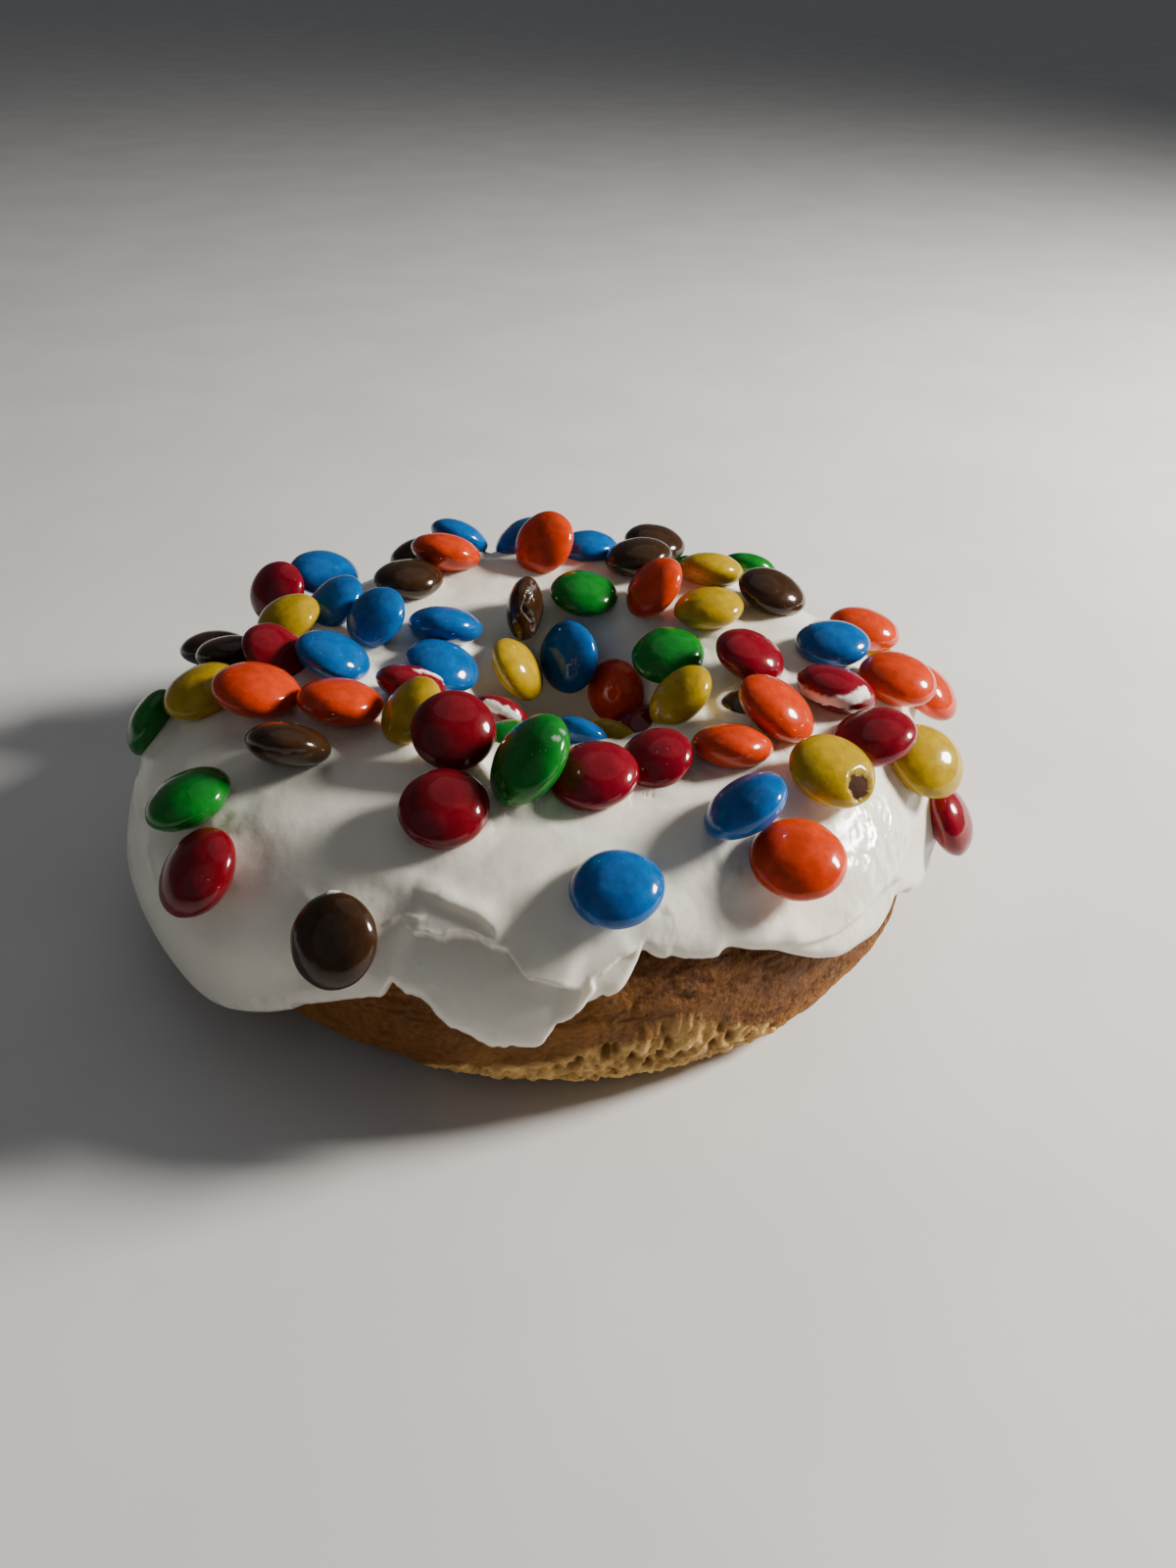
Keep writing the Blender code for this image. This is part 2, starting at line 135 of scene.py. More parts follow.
# chips, cracks and smears of icing: which lentil, what, mm across, where
MARKS = (
    (43, "chip", 1.75, ((31.4, -23.7, 27.8),)),
    (41, "smear", 0.75, ((27.6, -5.9, 28.3), (29.4, -8.2, 28.5), (31.9, -9.1, 28.8),
                         (34.5, -7.5, 29.1))),
    (50, "smear", 0.75, ((-20.6, -36.5, 24.5),)),
    (12, "crack", 0.22, ((-3.6, 17.5, 30.3), (-4.4, 14.1, 29.9), (-5.0, 12.8, 28.7),
                         (-3.9, 13.3, 26.7), (-4.1, 15.1, 23.1))),
    (31, "fleck", 0.40, ((0.4, -25.2, 34.4),)), (31, "fleck", 0.30, ((0.9, -24.2, 34.5),)),
    (31, "crack", 0.18, ((-5.5, -25.7, 30.4), (-4.7, -27.6, 29.6), (-3.5, -28.0, 28.2))),
    (66, "smear", 0.55, ((-8.5, -3.9, 24.9), (-6.8, -4.4, 24.5), (-4.9, -4.5, 23.3))),
    (28, "smear", 0.40, ((-16.0, -6.3, 30.7), (-14.3, -5.5, 29.8), (-13.4, -4.3, 28.3))),
)

# folds, torn layers and creases of the icing: (angle round, place across) along
# each line.  The uphill or left-hand side is the high one of a torn layer.
CREST = ((251.9, 55.8), (254.8, 54.1), (259.0, 52.0), (264.0, 48.9), (266.3, 45.2),
         (267.8, 41.4))
THIN_RIDGE = ((250.3, 39.2), (252.1, 42.5), (253.7, 44.6), (255.5, 44.4), (256.9, 45.5))
TORN = ((252.9, 42.1), (254.4, 41.6), (255.5, 40.0), (259.6, 39.7), (261.9, 41.0),
        (264.1, 41.1), (266.0, 38.7), (268.5, 37.4), (269.6, 33.7), (270.8, 28.5),
        (272.1, 27.1), (274.9, 25.6), (276.8, 24.2), (278.3, 23.5))
LIP = ((273.6, 4.2), (275.0, 10.3), (275.9, 11.5), (278.0, 15.7), (280.0, 22.6),
       (279.6, 26.4), (281.5, 29.4), (283.5, 33.0), (286.2, 35.8))
VALLEY = ((267.6, 51.3), (268.1, 43.7), (269.4, 36.2), (271.4, 32.0))
LOBE_LINE = ((305.5, 20.7), (309.5, 17.5), (314.5, 14.4), (320.2, 14.2), (324.5, 15.9),
             (328.5, 15.2), (331.1, 11.9))
WET = (((36.0, -25.0, 20.0), 8.5), ((33.0, -28.5, 22.0), 5.0), ((17.5, -32.0, 24.0), 4.0),
       ((10.5, -37.0, 22.0), 3.0), ((31.0, -33.0, 17.0), 4.0))
CREASES = (((188.8, 19.9), (195.4, 23.8), (202.2, 25.9), (204.0, 19.8)),
           ((207.5, 28.2), (210.1, 23.8), (213.6, 18.7), (215.9, 16.1)),
           ((196.9, 14.3), (201.7, 13.9), (206.7, 11.1), (210.9, 9.1), (215.0, 9.0)),
           ((236.0, 44.0), (240.5, 38.0), (243.0, 30.0)),
           ((22.0, 22.0), (30.0, 14.0), (38.0, 9.0)), ((58.0, 30.0), (66.0, 18.0), (76.0, 12.0)),
           ((112.0, 26.0), (122.0, 16.0), (132.0, 8.0)), ((150.0, 30.0), (160.0, 22.0), (170.0, 12.0)))


# ------------------------------------------------------------ smooth profiles
def smooth(table, deg):
    """Smooth closed curve through (angle, value) pairs, for arrays of angles."""
    a = np.array([t[0] for t in table], float)
    v = np.array([t[1] for t in table], float)
    a3 = np.concatenate([a - 360.0, a, a + 360.0])
    v3 = np.concatenate([v, v, v])
    deg = np.mod(np.asarray(deg, float), 360.0)
    i = np.searchsorted(a3, deg, side="right") - 1
    h = a3[i + 1] - a3[i]
    s = (deg - a3[i]) / h
    m1 = (v3[i + 1] - v3[i - 1]) / (a3[i + 1] - a3[i - 1]) * h
    m2 = (v3[i + 2] - v3[i]) / (a3[i + 2] - a3[i]) * h
    return ((2 * s ** 3 - 3 * s ** 2 + 1) * v3[i] + (s ** 3 - 2 * s ** 2 + s) * m1
            + (-2 * s ** 3 + 3 * s ** 2) * v3[i + 1] + (s ** 3 - s ** 2) * m2)


def every(values):
    return tuple((i * 360.0 / len(values), v) for i, v in enumerate(values))


OUT_T, HOLE_T = every(OUTLINE), every(HOLE)


def step(x, lo, hi):
    t = np.clip((x - lo) / (hi - lo), 0.0, 1.0)
    return t * t * (3.0 - 2.0 * t)


def circle_from(c, r, deg):
    t = np.radians(deg)
    along = c[0] * np.cos(t) + c[1] * np.sin(t)
    beside = c[0] * np.sin(t) - c[1] * np.cos(t)
    return along + np.sqrt(r * r - beside * beside)


def skin(deg, across, side=0.0, top=0.0, lobes=0.0):
    """Surface of the doughnut, mm; arrays of angles round and across the ring."""
    deg, across = np.broadcast_arrays(np.asarray(deg, float), np.asarray(across, float))
    t, a = np.radians(deg), np.radians(across)
    c, s = np.cos(a), np.sin(a)
    up = s >= 0.0
    n = np.where(up, np.where(c > 0.0, ROUND_OUT, ROUND_IN), ROUND_LOW)
    cc = np.sign(c) * np.abs(c) ** (2.0 / n)
    ss = np.sign(s) * np.abs(s) ** (2.0 / n)
    w = 0.5 + 0.5 * cc
    z_up = WAIST_Z + (RIDGE_Z - top - WAIST_Z) * ss
    z_dn = WAIST_Z * (1.0 + ss)
    z_dn = np.maximum(0.0, z_dn - BASE_FLAT) * WAIST_Z / (WAIST_Z - BASE_FLAT)
    z = np.where(up, z_up, z_dn)
    ro0 = smooth(OUT_T, deg) - side
    ri0 = smooth(HOLE_T, deg) + side
    lean = np.where(up, 0.0, np.clip(1.0 - z / WAIST_Z, 0.0, 1.0) ** LEAN_LOW)
    more = ICING_SIDE + GAP - side
    ro = ro0 + (circle_from(BASE_C - MID, BASE_R, deg) + more - ro0) * lean
    ri = ri0 + (BASE_HOLE_R - more - ri0) * lean
    if lobes:
        low = np.where(across < 90.0, np.clip((30.0 - across) / 45.0, 0.0, 1.0), 0.0)
        ro = ro + lobes * smooth(LOBES, deg) * low * low * (3.0 - 2.0 * low)
    x = (HOLE_C[0] + ri * np.cos(t)) * (1.0 - w) + (MID[0] + ro * np.cos(t)) * w
    y = (HOLE_C[1] + ri * np.sin(t)) * (1.0 - w) + (MID[1] + ro * np.sin(t)) * w
    return np.stack([x, y, z], -1)


def unit(v):
    return v / (np.linalg.norm(v, axis=-1, keepdims=True) + 1e-12)


def skin_frame(deg, across, lobes=1.0):
    du = skin(deg + 0.5, across, lobes=lobes) - skin(deg - 0.5, across, lobes=lobes)
    dv = skin(deg, across + 0.5, lobes=lobes) - skin(deg, across - 0.5, lobes=lobes)
    n = unit(np.cross(du, dv))
    du = unit(du)
    return n, du, unit(np.cross(n, du))


def across_at(height, deg, inside):
    lo = np.full(deg.shape, 90.0 if inside else -85.0)
    hi = np.full(deg.shape, 265.0 if inside else 90.0)
    for _ in range(36):
        mid = 0.5 * (lo + hi)
        high = skin(deg, mid)[..., 2] > height
        if inside:
            lo, hi = np.where(high, mid, lo), np.where(high, hi, mid)
        else:
            hi, lo = np.where(high, mid, hi), np.where(high, lo, mid)
    return 0.5 * (lo + hi)


# --------------------------------------------------------------------- noise
def _hash(ix, iy, iz, seed):
    h = (ix.astype(np.int64) * 374761393 + iy.astype(np.int64) * 668265263
         + iz.astype(np.int64) * 1274126177 + seed * 974634777)
    h = (h ^ (h >> 13)) * 1103515245
    h = h & 0x7FFFFFFF
    h = (h ^ (h >> 15)) * 12820163
    h = h & 0x7FFFFFFF
    return (h % 100003) / 50001.5 - 1.0


def noise(p, size, seed=0):
    """Smooth value noise, -1 to 1, with cells of this size in mm."""
    q = p / size
    i = np.floor(q)
    f = q - i
    f = f * f * f * (f * (f * 6.0 - 15.0) + 10.0)
    ix, iy, iz = i[..., 0], i[..., 1], i[..., 2]
    out = 0.0
    for dx in (0, 1):
        wx = f[..., 0] if dx else 1.0 - f[..., 0]
        for dy in (0, 1):
            wy = f[..., 1] if dy else 1.0 - f[..., 1]
            for dz in (0, 1):
                wz = f[..., 2] if dz else 1.0 - f[..., 2]
                out = out + wx * wy * wz * _hash(ix + dx, iy + dy, iz + dz, seed)
    return out


def fbm(p, size, octaves=4, seed=0, gain=0.5):
    out, amp, tot = 0.0, 1.0, 0.0
    for k in range(octaves):
        out = out + amp * noise(p + 17.3 * k, size / 2.03 ** k, seed + k)
        tot += amp
        amp *= gain
    return out / tot


def cells(p, size, seed=0):
    """Distances to the nearest and second nearest of scattered points, in cells."""
    q = p / size
    i = np.floor(q)
    d1 = np.full(q.shape[:-1], 9.0)
    d2 = np.full(q.shape[:-1], 9.0)
    for dx in (-1, 0, 1):
        for dy in (-1, 0, 1):
            for dz in (-1, 0, 1):
                c = i + np.array((dx, dy, dz))
                jx = 0.5 + 0.45 * _hash(c[..., 0], c[..., 1], c[..., 2], seed)
                jy = 0.5 + 0.45 * _hash(c[..., 0], c[..., 1], c[..., 2], seed + 7)
                jz = 0.5 + 0.45 * _hash(c[..., 0], c[..., 1], c[..., 2], seed + 13)
                d = np.sqrt((c[..., 0] + jx - q[..., 0]) ** 2 + (c[..., 1] + jy - q[..., 1]) ** 2
                            + (c[..., 2] + jz - q[..., 2]) ** 2)
                d2 = np.minimum(d2, np.maximum(d1, d))
                d1 = np.minimum(d1, d)
    return d1, d2


# -------------------------------------------------------------------- meshes
def grid_mesh(name, pts, closed_u=True, closed_v=True, attrs=None):
    """Mesh through a grid of points (mm), with float attributes on its points."""
    nu, nv = pts.shape[:2]
    idx = np.arange(nu * nv).reshape(nu, nv)
    a = idx if closed_u else idx[:-1]
    b = np.roll(idx, -1, 0) if closed_u else idx[1:]
    if closed_v:
        a2, b2 = np.roll(a, -1, 1), np.roll(b, -1, 1)
    else:
        a2, b2, a, b = a[:, 1:], b[:, 1:], a[:, :-1], b[:, :-1]
    quads = np.stack([a, b, b2, a2], -1).reshape(-1, 4)
    return poly_mesh(name, pts.reshape(-1, 3), quads, attrs)


def poly_mesh(name, pts, faces, attrs=None):
    me = bpy.data.meshes.new(name)
    n, k = faces.shape
    me.vertices.add(len(pts))
    me.vertices.foreach_set("co", (np.asarray(pts, float) * MM).ravel().astype(np.float32))
    me.loops.add(n * k)
    me.loops.foreach_set("vertex_index", faces.ravel().astype(np.int32))
    me.polygons.add(n)
    me.polygons.foreach_set("loop_start", (np.arange(n) * k).astype(np.int32))
    me.polygons.foreach_set("loop_total", np.full(n, k, np.int32))
    me.update(calc_edges=True)
    me.validate()
    me.shade_smooth()
    for key, val in (attrs or {}).items():
        at = me.attributes.new(key, 'FLOAT', 'POINT')
        at.data.foreach_set("value", np.asarray(val, np.float32).ravel())
    return me


def add_piece(name, mesh, mat, nodes=()):
    ob = bpy.data.objects.new(name, mesh)
    bpy.context.scene.collection.objects.link(ob)
    for m in (mat if isinstance(mat, (list, tuple)) else (mat,)):
        mesh.materials.append(m)
    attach(ob, "root")
    if nodes:
        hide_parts(*nodes)
    return ob


def outward(mesh):
    """Turns the mesh's faces outward if it is inside out."""
    bm = bmesh.new()
    bm.from_mesh(mesh)
    if bm.calc_volume(signed=True) < 0.0:
        bmesh.ops.reverse_faces(bm, faces=bm.faces[:])
        bm.to_mesh(mesh)
    bm.free()


# ----------------------------------------------------------------- materials
class Nodes:
    """Short-hand for building a material's nodes."""

    def __init__(self, name):
        self.mat = bpy.data.materials.new(name)
        self.mat.use_nodes = True
        self.t = self.mat.node_tree
        self.b = self.t.nodes["Principled BSDF"]
        self.pos = None

    def new(self, kind, **sockets):
        n = self.t.nodes.new(kind)
        for k, v in sockets.items():
            self.put(n, k, v)
        return n

    def put(self, node, key, value):
        s = node.inputs[key if isinstance(key, int) else key.replace("_", " ")]
        if hasattr(value, "is_output"):
            self.t.links.new(value, s)
        else:
            s.default_value = value

    def set(self, **sockets):
        for k, v in sockets.items():
            self.put(self.b, k, v)

    def where(self):
        if self.pos is None:
            self.pos = self.t.nodes.new("ShaderNodeTexCoord").outputs["Object"]
        return self.pos

    def attr(self, name):
        n = self.t.nodes.new("ShaderNodeAttribute")
        n.attribute_name = name
        return n.outputs["Fac"]

    def noise(self, per_m, detail=4.0, rough=0.5, distort=0.0, vec=None):
        n = self.new("ShaderNodeTexNoise", Scale=per_m, Detail=detail, Roughness=rough,
                     Distortion=distort)
        self.t.links.new(vec or self.where(), n.inputs["Vector"])
        return n.outputs["Fac"]

    def voronoi(self, per_m, feature='F1', rand=1.0, vec=None):
        n = self.t.nodes.new("ShaderNodeTexVoronoi")
        n.feature = feature
        n.inputs["Scale"].default_value = per_m
        n.inputs["Randomness"].default_value = rand
        self.t.links.new(vec or self.where(), n.inputs["Vector"])
        return n.outputs["Distance"]

    def stretch(self, sx, sy, sz):
        n = self.t.nodes.new("ShaderNodeMapping")
        n.inputs["Scale"].default_value = (sx, sy, sz)
        self.t.links.new(self.where(), n.inputs["Vector"])
        return n.outputs["Vector"]

    def ramp(self, fac, *stops):
        n = self.t.nodes.new("ShaderNodeValToRGB")
        r = n.color_ramp
        while len(r.elements) > 1:
            r.elements.remove(r.elements[-1])
        for i, (p, c) in enumerate(stops):
            e = r.elements[0] if i == 0 else r.elements.new(p)
            e.position = p
            e.color = (*c, 1.0) if hasattr(c, "__len__") else (c, c, c, 1.0)
        self.t.links.new(fac, n.inputs["Fac"])
        return n.outputs["Color"]

    def mix(self, fac, a, b, kind='MIX'):
        n = self.t.nodes.new("ShaderNodeMix")
        n.data_type = 'RGBA'
        n.blend_type = kind
        for key, v in (("Factor", fac), ("A", a), ("B", b)):
            s = [i for i in n.inputs if i.name == key and i.enabled][0]
            if hasattr(v, "is_output"):
                self.t.links.new(v, s)
            elif key == "Factor":
                s.default_value = v
            else:
                s.default_value = (*v, 1.0) if hasattr(v, "__len__") else (v, v, v, 1.0)
        return [o for o in n.outputs if o.enabled][0]

    def math(self, op, a, b=0.0, c=0.0, clamp=False):
        n = self.t.nodes.new("ShaderNodeMath")
        n.operation = op
        n.use_clamp = clamp
        for i, v in enumerate((a, b, c)):
            if hasattr(v, "is_output"):
                self.t.links.new(v, n.inputs[i])
            else:
                n.inputs[i].default_value = v
        return n.outputs[0]

    def remap(self, v, a, b, c, d):
        n = self.new("ShaderNodeMapRange")
        n.clamp = True
        self.t.links.new(v, n.inputs["Value"])
        for k, x in (("From Min", a), ("From Max", b), ("To Min", c), ("To Max", d)):
            n.inputs[k].default_value = x
        return n.outputs["Result"]

    def bump(self, height, dist_m, strength=1.0, after=None):
        n = self.new("ShaderNodeBump", Strength=strength, Distance=dist_m)
        self.t.links.new(height, n.inputs["Height"])
        if after is not None:
            self.t.links.new(after, n.inputs["Normal"])
        return n.outputs["Normal"]


def icing_material():
    m = Nodes("icing_white")
    broad = m.noise(110.0, 3.0)
    base = m.ramp(broad, (0.35, (0.80, 0.77, 0.68)), (0.65, (0.86, 0.84, 0.75)))
    # darker warm tint: thin icing at the outer edge, and painted shade at the foot of the torn steps
    thin_edge_and_step_shade = m.attr("thin_edge_and_step_shade")
    base = m.mix(thin_edge_and_step_shade, base, (0.72, 0.66, 0.56))
    # dye that has crept out of the red shells, and the odd crumb
    base = m.mix(m.math('MULTIPLY', m.attr("dye"), m.remap(m.noise(900.0, 3.0), 0.35, 0.65, 0.2, 1.0)),
                 base, (0.62, 0.20, 0.20))
    crumbs = m.math('MULTIPLY', m.remap(m.voronoi(210.0), 0.030, 0.045, 1.0, 0.0),
                    m.remap(m.noise(70.0, 1.0), 0.60, 0.66, 0.0, 0.8))
    base = m.mix(crumbs, base, (0.30, 0.20, 0.12))
    m.put(m.b, "Base Color", base)
    wet = m.attr("wet")
    streak = m.noise(620.0, 1.5, 0.45, 0.2, m.stretch(1.0, 0.55, 0.8))
    rough = m.math('ADD', 0.30, m.math('MULTIPLY', m.noise(500.0, 3.0), 0.16))
    rough = m.math('SUBTRACT', rough, m.math('MULTIPLY', wet, 0.24), clamp=True)
    m.put(m.b, "Roughness", rough)
    m.set(Subsurface_Weight=0.5, Subsurface_Scale=0.0014, IOR=1.46)
    m.b.inputs["Subsurface Radius"].default_value = (1.0, 0.85, 0.65)
    m.put(m.b, "Coat Weight", m.remap(wet, 0.25, 0.9, 0.06, 0.60))
    m.b.inputs["Coat Roughness"].default_value = 0.10
    fine = m.noise(2600.0, 3.0, 0.6)
    soft = m.noise(420.0, 2.0, 0.5)
    n1 = m.bump(soft, 0.00030, 0.40)
    n2 = m.bump(fine, 0.00004, 0.35, n1)
    n3 = m.bump(m.math('MULTIPLY', streak, m.remap(wet, 0.25, 1.0, 0.0, 1.0)), 0.0007, 0.9, n2)
    m.put(m.b, "Normal", n3)
    m.put(m.b, "Coat Normal", n3)
    return m.mat


def dough_material():
    m = Nodes("dough_crust")
    pos = m.where()
    low = m.attr("low")
    torn = m.attr("torn")
    broad = m.noise(95.0, 5.0, 0.6)
    gold = m.ramp(broad, (0.28, (0.155, 0.053, 0.008)), (0.5, (0.245, 0.094, 0.014)),
                  (0.72, (0.330, 0.148, 0.025)))
    brown = m.ramp(m.noise(260.0, 5.0, 0.65), (0.3, (0.062, 0.018, 0.0040)),
                   (0.7, (0.138, 0.045, 0.0095)))
    toast = m.attr("toast")
    base = m.mix(toast, gold, brown)
    grain = m.noise(1500.0, 5.0, 0.7)
    base = m.mix(m.remap(grain, 0.46, 0.66, 0.0, 0.30), base, (0.40, 0.19, 0.045))
    crumb = m.ramp(m.noise(700.0, 5.0, 0.65), (0.3, (0.60, 0.320, 0.085)),
                   (0.7, (0.88, 0.580, 0.200)))
    # painted shade: the pores of the torn crumb are darkened
    crumb = m.mix(m.attr("pit"), crumb, (0.230, 0.100, 0.020))
    base = m.mix(torn, base, crumb)
    specks = m.remap(m.voronoi(330.0), 0.05, 0.10, 1.0, 0.0)
    base = m.mix(m.math('MULTIPLY', specks, 0.7), base, (0.035, 0.012, 0.005))
    m.put(m.b, "Base Color", base)
    rough = m.remap(m.noise(380.0, 4.0), 0.3, 0.7, 0.52, 0.78)
    m.put(m.b, "Roughness", rough)
    m.set(Subsurface_Weight=0.12, Subsurface_Scale=0.0015)
    m.b.inputs["Subsurface Radius"].default_value = (1.0, 0.5, 0.25)
    m.b.inputs["Specular IOR Level"].default_value = 0.22
    wr = m.noise(1300.0, 6.0, 0.65)
    pore = m.voronoi(1500.0)
    n1 = m.bump(wr, 0.0008, 0.85)
    n2 = m.bump(pore, 0.0003, 0.5, n1)
    m.put(m.b, "Normal", n2)
    return m.mat


SHELL = {"blue": (0.0003, 0.084, 0.300), "green": (0.0004, 0.140, 0.010),
         "yellow": (0.38, 0.245, 0.0001), "orange": (0.51, 0.032, 0.0001),
         "red": (0.135, 0.0008, 0.0060), "maroon": (0.165, 0.0008, 0.0085),
         "brown": (0.030, 0.0125, 0.0040)}


def shell_material(key):
    m = Nodes("sugar_shell_" + key)
    c = SHELL[key]
    dark = tuple(0.78 * v for v in c)
    pale = tuple(min(1.0, v * 1.22 + 0.004) for v in c)
    mottle = m.noise(650.0, 4.0, 0.6)
    base = m.ramp(mottle, (0.3, dark), (0.5, c), (0.72, pale))
    bare = m.attr("bare")
    base = m.mix(bare, base, (0.040, 0.017, 0.010))
    rim = m.attr("rim")
    base = m.mix(rim, base, tuple(0.55 * v + 0.26 for v in c))
    tiny = m.remap(m.voronoi(1100.0), 0.045, 0.085, 1.0, 0.0)
    some = m.remap(m.noise(240.0, 2.0), 0.52, 0.66, 0.0, 0.75)
    base = m.mix(m.math('MULTIPLY', tiny, some), base, tuple(0.5 * v + 0.38 for v in c))
    smear = m.attr("smear")
    base = m.mix(smear, base, (0.83, 0.80, 0.77))
    m.put(m.b, "Base Color", base)
    rough = m.remap(m.noise(900.0, 4.0, 0.6), 0.3, 0.7, 0.26, 0.42)
    rough = m.math('MAXIMUM', rough, m.math('MULTIPLY', bare, 0.7))
    m.put(m.b, "Roughness", rough)
    m.b.inputs["Specular IOR Level"].default_value = 0.04
    m.put(m.b, "Coat Weight", m.math('MULTIPLY', m.math('SUBTRACT', 1.0, m.math('MAXIMUM', bare, smear)), 0.75))
    m.set(Coat_Roughness=0.09, IOR=1.45)
    dents = m.noise(420.0, 3.0, 0.5)
    fine = m.noise(3200.0, 4.0, 0.6)
    n1 = m.bump(dents, 0.00022, 0.5)
    n2 = m.bump(fine, 0.00003, 0.35, n1)
    m.put(m.b, "Normal", n2)
    return m.mat


# ------------------------------------------------------------------- lentils
def lentil_place(row):
    colour, deg, across, lean, lean_to, size, rise = row
    n, du, up = skin_frame(np.float64(deg), np.float64(across))
    lean, lean_to = math.radians(lean), math.radians(lean_to)
    axis = n * math.cos(lean) + (du * math.cos(lean_to) + up * math.sin(lean_to)) * math.sin(lean)
    hd, ht = 0.5 * LENTIL_D * size, 0.5 * LENTIL_T * size
    reach = math.hypot(hd * math.sin(lean), ht * math.cos(lean))
    centre = skin(deg, across, lobes=1.0) + n * (reach - LENTIL_SINK + rise)
    return centre, unit(axis), hd, ht


def axes_of(axis):
    t = np.array((1.0, 0.0, 0.0)) if abs(axis[0]) < 0.8 else np.array((0.0, 1.0, 0.0))
    x = unit(np.cross(t, axis))
    return np.stack([x, np.cross(axis, x), axis], 1)


def ball(levels):
    bm = bmesh.new()
    bmesh.ops.create_icosphere(bm, subdivisions=levels, radius=1.0)
    v = np.array([tuple(p.co) for p in bm.verts])
    f = np.array([[p.index for p in q.verts] for q in bm.faces])
    bm.free()
    return unit(v), f


BALL_V, BALL_F = ball(5)


def line_distance(p, line):
    """Distance from points to a line of points; how far along it (0 to 1); nearest spot; tangent."""
    best = np.full(len(p), 1e9)
    along = np.zeros(len(p))
    spot = np.zeros_like(p)
    tang = np.zeros_like(p)
    if len(line) == 1:
        return np.linalg.norm(p - line[0], axis=1), along, spot + line[0], tang
    seg = np.linalg.norm(np.diff(line, axis=0), axis=1)
    total, done = seg.sum(), 0.0
    for a, b, length in zip(line[:-1], line[1:], seg):
        t = np.clip(((p - a) @ (b - a)) / (length * length), 0.0, 1.0)
        c = a + t[:, None] * (b - a)
        d = np.linalg.norm(p - c, axis=1)
        m = d < best
        best[m] = d[m]
        along[m] = (done + t[m] * length) / total
        spot[m] = c[m]
        tang[m] = (b - a) / length
        done += length
    return best, along, spot, tang


def lentil_points(k, centre, axis, hd, ht):
    """One sugar shell: a lens a little out of true, with chips, cracks and smears."""
    v = BALL_V
    seed = 31 * k + 5
    frame_ = axes_of(axis)
    flat = np.sign(v[:, 2:3]) * np.abs(v[:, 2:3]) ** 1.07
    out = np.concatenate([v[:, :2] * hd * (0.99 + 0.02 * ((k * 37) % 10) / 10.0), flat * ht], 1)
    out[:, 1] *= 0.995
    up = unit(v / np.array((hd, hd, ht)))
    lump = 0.085 * noise(v * 2.0 + seed, 1.7, seed) + 0.03 * noise(v * 2.0 + seed, 0.7, seed + 1) \
        + 0.008 * noise(v * 2.0 + seed, 0.22, seed + 2)
    out = out + up * lump[:, None]
    bare, rim, smear = np.zeros(len(v)), np.zeros(len(v)), np.zeros(len(v))
    for which, kind, size, places in MARKS:
        if which != k:
            continue
        loc = (np.array(places) - centre) @ frame_
        loc = unit(loc / np.array((hd, hd, ht))) * np.array((hd, hd, ht))
        dist, along, _, _ = line_distance(out, loc)
        rag = dist + 0.22 * noise(out, 0.55, 3 + k) + 0.10 * noise(out, 0.2, 4 + k)
        if kind == "chip":
            inside = 1.0 - step(rag, size - 0.13, size + 0.05)
            out = out - up * (inside * (0.42 + 0.06 * noise(out, 0.4, 9)))[:, None]
            bare = np.maximum(bare, 1.0 - step(rag, size - 0.20, size - 0.10))
            rim = np.maximum(rim, np.exp(-((rag - size + 0.02) / 0.08) ** 2) * 0.45)
        elif kind == "crack":
            taper = step(along, 0.0, 0.12) * (1.0 - step(along, 0.9, 1.0))
            gone = np.exp(-(rag / size) ** 2) * taper
            out = out + up * ((-0.42 * gone) + 0.10 * np.exp(-((rag - 1.9 * size) / (0.6 * size)) ** 2) * taper)[:, None]
            bare = np.maximum(bare, gone * 0.9)
            rim = np.maximum(rim, np.exp(-((rag - 1.6 * size) / (0.45 * size)) ** 2) * taper * 0.36)
        elif kind == "fleck":
            rim = np.maximum(rim, 1.0 - step(rag, size - 0.1, size + 0.05))
        else:
            on = 1.0 - step(rag, size - 0.18, size + 0.08)
            out = out + up * (on * (0.16 + 0.05 * noise(out, 0.35, 12)))[:, None]
            smear = np.maximum(smear, on)
    return centre + out @ frame_.T, bare, rim, smear


def make_lentils():
    """All shells, one piece for each colour."""
    mats = {k: shell_material(k) for k in SHELL}
    rows = [(r, True) for r in LENTILS] + [(r, False) for r in MORE_LENTILS]
    parts, names, counts, placed = {}, {}, {}, []
    for k, (row, in_cad) in enumerate(rows):
        colour = row[0]
        centre, axis, hd, ht = lentil_place(row)
        placed.append((centre, axis, hd, ht, row))
        parts.setdefault(colour, []).append(lentil_points(k, centre, axis, hd, ht))
        if in_cad:
            counts[colour] = counts.get(colour, 0) + 1
            names.setdefault(colour, []).append("lentil_%s_%02d" % (colour, counts[colour]))
    for colour, plist in parts.items():
        n = len(BALL_V)
        faces = np.concatenate([BALL_F + i * n for i in range(len(plist))])
        pts, bare, rim, smear = (np.concatenate(c) for c in zip(*plist))
        me = poly_mesh("lentils_" + colour, pts, faces, {"bare": bare, "rim": rim, "smear": smear})
        add_piece("lentils_" + colour, me, mats[colour], names[colour])
    return placed


# --------------------------------------------------------------------- dough
def front_columns(n, flap=0.6):
    """Angles round the ring, closer together on the side with the drips."""
    u = np.linspace(0.0, 1.0, 4001)
    deg = 360.0 * u
    weight = 1.0 + 0.6 * step(np.cos(np.radians(deg - 270.0)), -0.1, 0.7)
    weight = weight + flap * step(deg, 240.0, 251.0) * (1.0 - step(deg, 286.0, 297.0))
    total = np.concatenate([[0.0], np.cumsum(0.5 * (weight[1:] + weight[:-1]))])
    total /= total[-1]
    return np.interp(np.arange(n) / n, total, deg)


